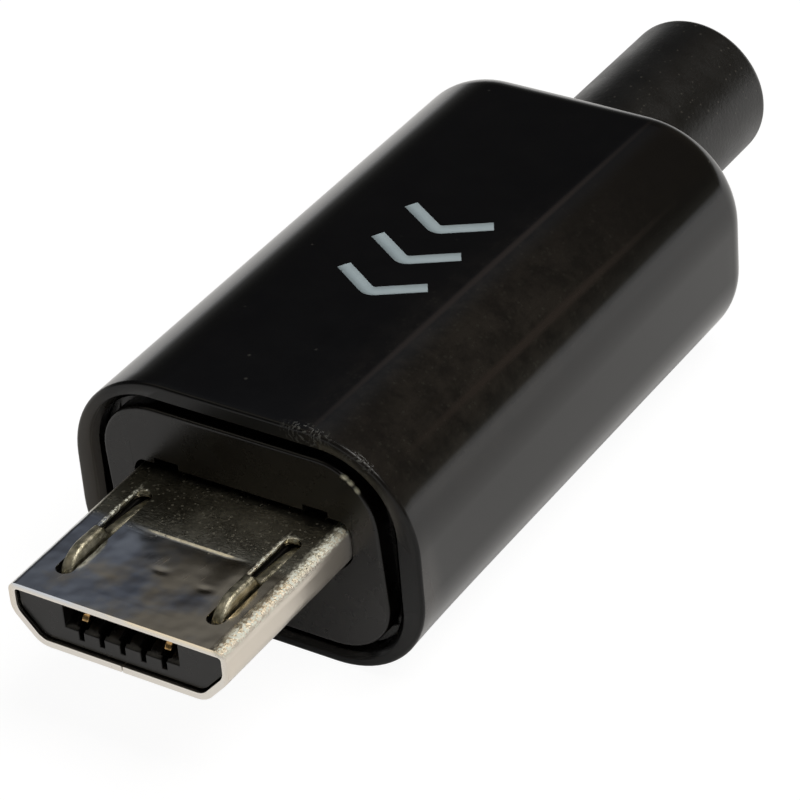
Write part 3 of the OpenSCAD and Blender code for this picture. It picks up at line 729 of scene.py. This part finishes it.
def makeShell(sizes):
    inPanel, inLip, inSlots = within(sizes["panel"]), within(sizes["lip"]), within(sizes["slots"])
    bm = softenedCopy("metal_shell", sizes["edgeRadius"], lambda point: inLip(point) or inSlots(point),
                      sizes["lipRadius"], skip=inPanel)
    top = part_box("metal_shell")[1].z / mm
    low, high = sizes["panel"]

    def panelFaces():
        return [face for face in bm.faces if all(inPanel(vert.co) for vert in face.verts)]

    coarse = [[low[axis] + i * sizes["gridStep"] for i in range(1, sizes["gridLines"])] for axis in (0, 1)]
    fine = [high[1] - i * sizes["fineStep"] for i in range(1, sizes["fineLines"])]
    for axis, places in ((0, coarse[0]), (1, [y for y in coarse[1] if y < fine[-1]] + fine)):
        normal = Vector((axis == 0, axis == 1, 0))
        for place in places:
            if place > high[axis]:
                continue
            faces = panelFaces()
            edges = {edge for face in faces for edge in face.edges}
            corners = {vert for face in faces for vert in face.verts}
            bmesh.ops.bisect_plane(bm, geom=faces + list(edges) + list(corners), dist=sizes["cutMerge"],
                                   plane_no=normal, plane_co=normal * place)
    moved = {vert for face in panelFaces() for vert in face.verts}
    for vert in moved:
        vert.co.z = panelHeight(sizes, vert.co.x, vert.co.y, top)
    bmesh.ops.remove_doubles(bm, verts=list(moved), dist=sizes["merge"])
    print("shell: pressed panel of", len(moved), "points")
    shadedPiece("nickelShell", meshFrom(bm), "plug_body", "shell", nickelPlate, "metal_shell")


makeShell(shell)


# Latch springs, lofted along the nose. Heights are above the nose's centre line, lengths from its front.

latch = {
    "noseFront": -15.1, "axisHeight": 3.75, "spacing": 4.74, "thickness": 0.36, "cornerRadius": 0.13,
    "frontRadius": 0.08, "hookStart": 1.05, "crestStart": 1.947, "crestHeight": 1.25, "frontHeight": 0.75,
    "crestFall": 0.03, "softness": 0.035, "bottom": 0.2,
    "rootAlong": 8.15, "rootHeight": 0.3, "rootRadius": 0.3,
    "top": ((2.7075, 1.22), (2.854, 0.9), (3.0, 0.84), (4.3, 0.72), (4.9, 0.6), (7.85, 0.6)),
    "frontSteps": 5, "hookEnd": 3.2, "hookStep": 0.05, "armStep": 0.2, "rootTurn": (150, 6), "rootSteps": 12,
    "cornerShare": 0.45, "cornerSteps": 6,
}


def latchTop(sizes, along):
    rise = sizes["crestHeight"] - sizes["frontHeight"]
    run = sizes["crestStart"] - sizes["hookStart"]
    radius = (run * run + rise * rise) / (2 * rise)
    past = along - sizes["crestStart"]
    points = sizes["top"]
    crest = sizes["crestHeight"] - radius + math.sqrt(radius * radius - min(0.0, past) ** 2)
    crest -= sizes["crestFall"] * max(0.0, past) / (points[0][0] - sizes["crestStart"])

    def between(first, second):
        (alongA, heightA), (alongB, heightB) = first, second
        return heightA + (along - alongA) * (heightB - heightA) / (alongB - alongA)

    soft = sizes["softness"]
    hook = -soft * math.log(math.exp(-crest / soft) + math.exp(-between(*points[:2]) / soft))
    if along < points[1][0]:
        return hook
    for first, second in zip(points[1:], points[2:]):
        if along <= second[0]:
            return max(hook, between(first, second))
    return points[-1][1]


def makeLatch(name, body, side, sizes):
    thickness, frontR = sizes["thickness"], sizes["frontRadius"]
    stations = [(sizes["hookStart"] + frontR * (1 - math.cos(a)), frontR * (1 - math.sin(a)))
                for a in quarterTurn(sizes["frontSteps"])]
    along = stations[-1][0]
    while along < sizes["top"][-1][0]:
        along += sizes["hookStep"] if along < sizes["hookEnd"] else sizes["armStep"]
        stations.append((along, 0.0))
    rings = [(along, thickness - 2 * inset, sizes["bottom"] + inset, latchTop(sizes, along) - inset)
             for along, inset in stations]
    rootRadius, rootHeight = sizes["rootRadius"], sizes["rootHeight"]
    first, last = sizes["rootTurn"]
    for step in range(sizes["rootSteps"] + 1):
        turn = math.radians(first + (last - first) * step / sizes["rootSteps"])
        along = sizes["rootAlong"] + rootRadius * math.cos(turn)
        half = rootRadius * math.sin(turn)
        if along > rings[-1][0]:
            rings.append((along, thickness, rootHeight - half, rootHeight + half))
    loops = []
    for along, wide, low, high in rings:
        radius = min(sizes["cornerRadius"], (high - low) * sizes["cornerShare"], wide * sizes["cornerShare"])
        ring = roundedRing(wide, high - low, radius, sizes["noseFront"] + along,
                           sizes["axisHeight"] + (low + high) / 2, sizes["cornerSteps"])
        loops.append([point + Vector((side * sizes["spacing"] / 2, 0, 0)) for point in ring])
    shadedPiece(name, meshFrom(loftRings(loops, capped=True)), body, "latch", wornLatchSteel, body)


makeLatch("latchHookLeft", "latch_left", -1, latch)
makeLatch("latchHookRight", "latch_right", 1, latch)
print("latches: two lofted springs")


# Contacts: one node tree sweeps a bent strip and a wider solder tail along two drawn lines

contact = {
    "noseFront": -15.1, "axisHeight": 3.75, "pitch": 0.65, "count": 5, "tipStart": 0.3, "stagger": 0.35,
    "bumpRadius": 0.36, "bumpHeight": -0.06, "bumpTurn": (158, 60), "bumpSteps": 12, "stripHeight": -0.15,
    "tailTurn": 10.95, "tailBend": 0.4, "tailStart": 11.9, "tailEnd": 13.55, "tailOverlap": 0.05,
    "tailHeights": (0.285, -0.675), "bendSteps": 5, "edgeSteps": 3,
    "tree": {"Width": 0.2, "Thickness": 0.15, "Tail Width": 0.5, "Bend": 0.2, "Edge": 0.03},
}


def makeContactTree(sizes, material):
    tree, inside, outside = shapeGroup("springContact", **sizes["tree"])
    lines = addNode(tree, "GeometryNodeMeshToCurve", {0: (inside, "Geometry")})
    order = addNode(tree, "GeometryNodeInputIndex")
    later = addNode(tree, "FunctionNodeCompare", {2: order, 3: 0}, data_type="INT", operation="GREATER_THAN")
    parts = addNode(tree, "GeometryNodeSeparateGeometry", {"Geometry": lines, "Selection": later},
                    domain="CURVE")
    bent = filletLine(tree, (parts, "Inverted"), (inside, "Bend"), sizes["bendSteps"])
    both = addNode(tree, "GeometryNodeJoinGeometry")
    for path, wide in ((bent, "Width"), ((parts, "Selection"), "Tail Width")):
        bar = barProfile(tree, (inside, wide), (inside, "Thickness"))
        profile = filletLine(tree, bar, (inside, "Edge"), sizes["edgeSteps"])
        setInputs(tree, both, {0: sweep(tree, path, profile, (1, 0, 0))})
    return endShape(tree, both, outside, material)


def contactLines(sizes, pin):
    x = (pin - (sizes["count"] + 1) / 2) * sizes["pitch"]
    tip = sizes["tipStart"] + (0 if pin in (1, sizes["count"]) else sizes["stagger"])
    tailHeight = sizes["tailHeights"][(pin + 1) % 2]
    radius = sizes["bumpRadius"] - sizes["tree"]["Thickness"] / 2
    first, last = sizes["bumpTurn"]
    path = []
    for step in range(sizes["bumpSteps"] + 1):
        turn = math.radians(first - step * (first - last) / sizes["bumpSteps"])
        path.append((tip + sizes["bumpRadius"] + radius * math.cos(turn),
                     sizes["bumpHeight"] + radius * math.sin(turn)))
    fall = (path[-1][1] - sizes["stripHeight"]) * math.tan(math.radians(last))
    path += [(path[-1][0] + fall, sizes["stripHeight"]), (sizes["tailTurn"], sizes["stripHeight"]),
             (sizes["tailTurn"] + sizes["tailBend"], tailHeight),
             (sizes["tailStart"] + sizes["tailOverlap"], tailHeight)]
    tail = [(sizes["tailStart"], tailHeight), (sizes["tailEnd"], tailHeight)]
    return [[(x, sizes["noseFront"] + along, sizes["axisHeight"] + up) for along, up in chain]
            for chain in (path, tail)]


def makeContacts(sizes):
    tree = makeContactTree(sizes, goldPlate)
    for pin in range(1, sizes["count"] + 1):
        node, name = f"contact_{pin}", f"goldContact{pin}"
        mesh = growShape(drawLines(*contactLines(sizes, pin)), tree, sizes["tree"])
        linkPiece(name, mesh, node, "contact", goldPlate, node)


makeContacts(contact)
print("contacts:", contact["count"], "bent strips from one tree")


# Cable sleeve: a node tree turns the tube round its bore and joins it to the flange inside the housing

sleeve = {
    "flange": {"width": 8.4, "height": 5.5, "radius": 1.6, "front": 6.4, "rear": 7.8, "soft": 0.12,
               "steps": 12},
    "tree": {"Bore Radius": 1.6, "Outer Radius": 2.375, "Front": 7.6, "Rear": 16.15, "Edge Radius": 0.34,
             "Height": 3.75},
    "roundSteps": 96, "edgeSteps": 8,
}


def makeSleeveTree(sizes, material):
    tree, inside, outside = shapeGroup("turnedSleeve", **sizes["tree"])
    wall = mathNode(tree, "SUBTRACT", (inside, "Outer Radius"), (inside, "Bore Radius"))
    length = mathNode(tree, "SUBTRACT", (inside, "Rear"), (inside, "Front"))
    middle = mathNode(tree, "MULTIPLY_ADD", wall, 0.5, (inside, "Bore Radius"))
    halfway = mathNode(tree, "MULTIPLY_ADD", length, 0.5, (inside, "Front"))
    circle = addNode(tree, "GeometryNodeCurvePrimitiveCircle",
                     {"Resolution": sizes["roundSteps"], "Radius": middle}, mode="RADIUS")
    profile = filletLine(tree, barProfile(tree, wall, length), (inside, "Edge Radius"), sizes["edgeSteps"])
    shift = addNode(tree, "ShaderNodeCombineXYZ", {"Y": halfway, "Z": (inside, "Height")})
    tube = sweep(tree, circle, profile)
    laid = addNode(tree, "GeometryNodeTransform", {"Geometry": tube, "Translation": shift,
                                                   "Rotation": (math.radians(-90), 0, 0)})
    both = addNode(tree, "GeometryNodeJoinGeometry", {0: laid})
    setInputs(tree, both, {0: (inside, "Geometry")})
    return endShape(tree, both, outside, material)


def makeSleeve(sizes):
    plate, soft = sizes["flange"], sizes["flange"]["soft"]
    height, bore = sizes["tree"]["Height"], sizes["tree"]["Bore Radius"]

    def plateRing(inset, y):
        return roundedRing(plate["width"] - 2 * inset, plate["height"] - 2 * inset, plate["radius"] - inset,
                           y, height, plate["steps"])

    rings = [plateRing(soft, plate["front"]), plateRing(0, plate["front"] + soft),
             plateRing(0, plate["rear"] - soft), plateRing(soft, plate["rear"])]
    rings += [circleRing(rings[0], bore, y, height) for y in (plate["rear"], plate["front"])]
    flange = meshFrom(loftRings(rings), 1.0)  # the tree scales it with the tube
    mesh = growShape(flange, makeSleeveTree(sizes, softBlackSleeve), sizes["tree"])
    shadedPiece("cableSleeve", mesh, "plug_body", "sleeve", softBlackSleeve, "strain_relief")


makeSleeve(sleeve)
print("sleeve: turned tube with flange")


# Printed mark: a plain row of chevrons that point to the nose

mark = {
    "apex": (0.25, -3.0), "halfWidth": 1.35, "depth": 0.85, "apexSteps": 6,
    "tree": {"Count": 3, "Spacing": 1.75, "Fall": -0.014, "Line Width": 0.4, "Ink Height": 0.02,
             "Apex Radius": 0.3},
}


def makeMarkTree(sizes, material):
    tree, inside, outside = shapeGroup("chevronRow", **sizes["tree"])
    line = addNode(tree, "GeometryNodeMeshToCurve", {0: (inside, "Geometry")})
    turned = filletLine(tree, line, (inside, "Apex Radius"), sizes["apexSteps"])
    chevron = sweep(tree, turned, barProfile(tree, (inside, "Line Width"), (inside, "Ink Height")))
    step = addNode(tree, "ShaderNodeCombineXYZ", {"Y": (inside, "Spacing"), "Z": (inside, "Fall")})
    row = addNode(tree, "GeometryNodeMeshLine", {"Count": (inside, "Count"), "Offset": step})
    copies = addNode(tree, "GeometryNodeInstanceOnPoints", {"Points": row, "Instance": chevron})
    return endShape(tree, copies, outside, material)


def makeMark(sizes):
    (x, y), half, depth = sizes["apex"], sizes["halfWidth"], sizes["depth"]
    corners = [(x + side * half, y + depth * abs(side), sectionAt(housing, "top", y + depth * abs(side)))
               for side in (-1, 0, 1)]
    mesh = growShape(drawLines(corners), makeMarkTree(sizes, paleInk), sizes["tree"])
    linkPiece("chevronMark", mesh, "plug_body", "housing", paleInk)


makeMark(mark)
print("mark:", mark["tree"]["Count"], "chevrons")


# Floor, light and camera. A sky is a list of heights, from the horizon to straight up, with their colours.

studio = {
    "floorSize": 3000.0, "floorBounce": 0.8, "seenGlow": 0.94, "seenShade": 0.12, "mirrorShade": 0.84,
    "mirrorGlow": (0.16, 0.38), "mirrorReach": (0.010, 0.045),
    "sideTurn": (-0.42, -0.02), "frontTurn": (0.1, -0.3),
    "leftSky": ((0.0, (0.95, 0.95, 0.95)), (0.05, (0.5, 0.5, 0.5)), (0.13, (0.17, 0.17, 0.165)),
                (0.25, (0.06, 0.06, 0.058)), (0.35, (0.03, 0.03, 0.03)), (0.545, (0.03, 0.03, 0.034)),
                (0.59, (0.085, 0.09, 0.105)), (0.65, (0.15, 0.157, 0.172)), (1.0, (0.17, 0.175, 0.185))),
    "frontSky": ((0.0, (0.9, 0.9, 0.9)), (0.06, (0.45, 0.45, 0.44)), (0.16, (0.07, 0.07, 0.07)),
                 (0.3, (0.025, 0.025, 0.025)), (1.0, (0.03, 0.03, 0.03))),
    "rightSky": ((0.0, (0.88, 0.88, 0.88)), (0.055, (0.6, 0.6, 0.58)), (0.09, (0.17, 0.16, 0.13)),
                 (0.25, (0.08, 0.071, 0.055)), (0.45, (0.095, 0.079, 0.06)), (0.7, (0.09, 0.075, 0.06)),
                 (1.0, (0.13, 0.12, 0.11))),
}
lamps = {
    "keyBox": {"place": (520, 150, 1130), "size": 720, "power": 10.4, "colour": (1.0, 0.98, 0.95)},
    "leftFill": {"place": (-197, -147, 340), "size": 200, "power": 0.075, "colour": (1.0, 0.92, 0.76)},
}
cameraView = {
    "azimuth": 34.756, "elevation": 34.424, "roll": -5.0, "distance": 104.23, "focalPixels": 3770.3,
    "framePixels": 800, "sensor": 36.0, "target": (0.675, -2.590, 3.75), "nearest": 1.0,
}


def makeFloor(sizes):
    half = sizes["floorSize"] * mm / 2
    mesh = bpy.data.meshes.new("paleFloor")
    corners = [(-half, -half, 0), (half, -half, 0), (half, half, 0), (-half, half, 0)]
    mesh.from_pydata(corners, [], [(0, 1, 2, 3)])
    floor = addObject("paleFloor", mesh)
    material = bpy.data.materials.new("paleFloor")
    tree = emptyTree(material)
    rays = addNode(tree, "ShaderNodeLightPath")
    mirrored = mathNode(tree, "MAXIMUM", (rays, "Is Glossy Ray"), (rays, "Is Transmission Ray"))
    coordinates = addNode(tree, "ShaderNodeTexCoord")
    away = vectorNode(tree, "LENGTH", (coordinates, "Object"))
    paler = rangeOf(tree, (away, "Value"), *sizes["mirrorGlow"], *sizes["mirrorReach"])
    shade = rangeOf(tree, mirrored, sizes["floorBounce"], sizes["mirrorShade"])
    glow = rangeOf(tree, mirrored, 0.0, paler)
    seen = (rays, "Is Camera Ray")
    shade = addNode(tree, "ShaderNodeMix", {0: seen, 2: shade, 3: sizes["seenShade"]}, data_type="FLOAT")
    glow = addNode(tree, "ShaderNodeMix", {0: seen, 2: glow, 3: sizes["seenGlow"]}, data_type="FLOAT")
    diffuse = addNode(tree, "ShaderNodeBsdfDiffuse", {"Color": shade})
    emission = addNode(tree, "ShaderNodeEmission", {"Color": (1, 1, 1, 1), "Strength": glow})
    both = addNode(tree, "ShaderNodeAddShader", {0: diffuse, 1: emission})
    addNode(tree, "ShaderNodeOutputMaterial", {"Surface": both})
    mesh.materials.append(material)


def makeSky(tree, height, stops):
    ramp = addNode(tree, "ShaderNodeValToRGB", {0: height})
    elements = ramp.color_ramp.elements
    while len(elements) < len(stops):
        elements.new(0.5)
    for element, (position, colour) in zip(elements, stops):
        element.position = position
        element.color = (*colour, 1)
    return ramp


def makeWorld(sizes):
    world = bpy.data.worlds.new("dimRoom")
    bpy.context.scene.world = world
    tree = emptyTree(world)
    coordinates = addNode(tree, "ShaderNodeTexCoord")
    direction = addNode(tree, "ShaderNodeSeparateXYZ", {0: (coordinates, "Generated")})
    left, front, right = (makeSky(tree, (direction, "Z"), sizes[name])
                          for name in ("leftSky", "frontSky", "rightSky"))
    turn = rangeOf(tree, direction, 0.0, 1.0, *sizes["sideTurn"])
    turn.interpolation_type = "SMOOTHSTEP"
    ahead = rangeOf(tree, (direction, "Y"), 0.0, 1.0, *sizes["frontTurn"])
    sky = blendColours(tree, ahead, blendColours(tree, turn, left, right), front)
    rays = addNode(tree, "ShaderNodeLightPath")
    shown = blendColours(tree, (rays, "Is Camera Ray"), sky, (1.0, 1.0, 1.0))
    background = addNode(tree, "ShaderNodeBackground", {"Color": shown})
    addNode(tree, "ShaderNodeOutputWorld", {"Surface": background})


def makeLamp(name, sizes):
    data = bpy.data.lights.new(name, "AREA")
    data.shape = "SQUARE"
    data.size = sizes["size"] * mm
    data.energy = sizes["power"]
    data.color = sizes["colour"]
    lamp = addObject(name, data)
    lamp.location = Vector(sizes["place"]) * mm
    lamp.rotation_euler = (-Vector(sizes["place"])).to_track_quat("-Z", "Y").to_euler()


def makeCamera(sizes):
    azimuth, elevation, roll = (math.radians(sizes[name]) for name in ("azimuth", "elevation", "roll"))
    back = Vector((math.sin(azimuth) * math.cos(elevation), -math.cos(azimuth) * math.cos(elevation),
                   math.sin(elevation)))
    right = Vector((math.cos(azimuth), math.sin(azimuth), 0))
    up = back.cross(right)
    data = bpy.data.cameras.new("photoCamera")
    data.sensor_width = sizes["sensor"]
    data.lens = sizes["focalPixels"] / sizes["framePixels"] * sizes["sensor"]
    data.clip_start = sizes["nearest"] * mm
    camera = addObject("photoCamera", data)
    across = right * math.cos(roll) + up * math.sin(roll)
    upward = up * math.cos(roll) - right * math.sin(roll)
    turned = Matrix((across, upward, back)).transposed()
    place = (Vector(sizes["target"]) + back * sizes["distance"]) * mm
    camera.matrix_world = Matrix.Translation(place) @ turned.to_4x4()
    bpy.context.scene.camera = camera


makeFloor(studio)
makeWorld(studio)
for name, sizes in lamps.items():
    makeLamp(name, sizes)
makeCamera(cameraView)
bpy.context.scene.view_settings.view_transform = "Standard"
print("studio: floor, world,", len(lamps), "lamps, camera")
